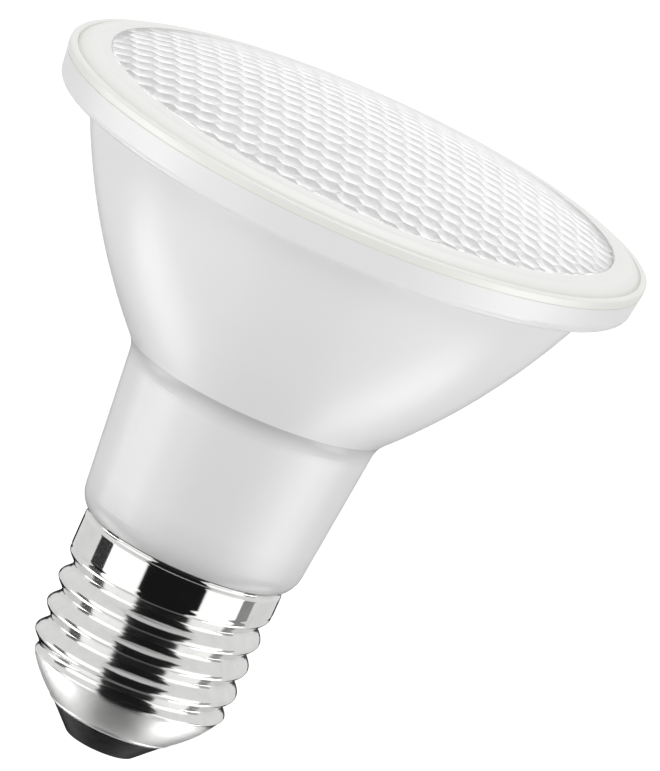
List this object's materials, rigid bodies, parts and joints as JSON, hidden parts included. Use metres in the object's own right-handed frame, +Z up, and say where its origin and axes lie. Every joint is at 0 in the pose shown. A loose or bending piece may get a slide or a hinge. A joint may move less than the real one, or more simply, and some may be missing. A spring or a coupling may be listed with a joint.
{
  "type": "par spotlight bulb",
  "caption": "Reflector spotlight bulb: flared white body on a stepped neck, clear honeycomb lens in a milky ring, nickel screw cap with centre contact",
  "frame": {"origin": "Middle of the flat face of the centre contact, the lowest point of the lamp", "axes": "+Z runs up the lamp's axis from the cap to the lens; +Y is the side away from the picture's camera and +X the picture's right with the lamp upright"},
  "size_m": [0.077, 0.077, 0.0862],
  "materials": {
    "contact_brass": "satin",
    "insulator_black": "satin",
    "shell_nickel": "bright nickel plate",
    "housing_white": "satin",
    "lens_clear": "polished",
    "reflector_bright": "metallised",
    "sink_aluminium": "stamped",
    "pad_grey": "matte",
    "board_white": "solder mask",
    "led_frame_white": "matte",
    "phosphor_yellow": "gel",
    "screw_steel": "zinc plate",
    "board_green": "solder mask",
    "can_sleeve": "shrink sleeve",
    "film_red": "dipped",
    "ferrite": "ground",
    "coil_tape": "tape",
    "chip_black": "moulded",
    "fuse_green": "lacquer",
    "wire_red": "extruded",
    "wire_black": "extruded"
  },
  "bodies": {
    "root": {"centre_contact": "contact_brass", "cap_insulator": "insulator_black", "screw_shell": "shell_nickel", "housing": "housing_white", "lens": "lens_clear", "reflector": "reflector_bright", "heat_sink": "sink_aluminium", "thermal_pad": "pad_grey", "led_board": "board_white", "led_packages": "led_frame_white", "led_phosphors": "phosphor_yellow", "board_screws": "screw_steel", "driver_board": "board_green", "bulk_capacitor": "can_sleeve", "output_capacitor": "can_sleeve", "film_capacitor": "film_red", "transformer_core": "ferrite", "transformer_coil": "coil_tape", "bridge_rectifier": "chip_black", "driver_chip": "chip_black", "fuse_resistor": "fuse_green", "led_lead_plus": "wire_red", "led_lead_minus": "wire_black", "live_wire": "wire_red", "neutral_wire": "wire_black"}
  },
  "joints": []
}
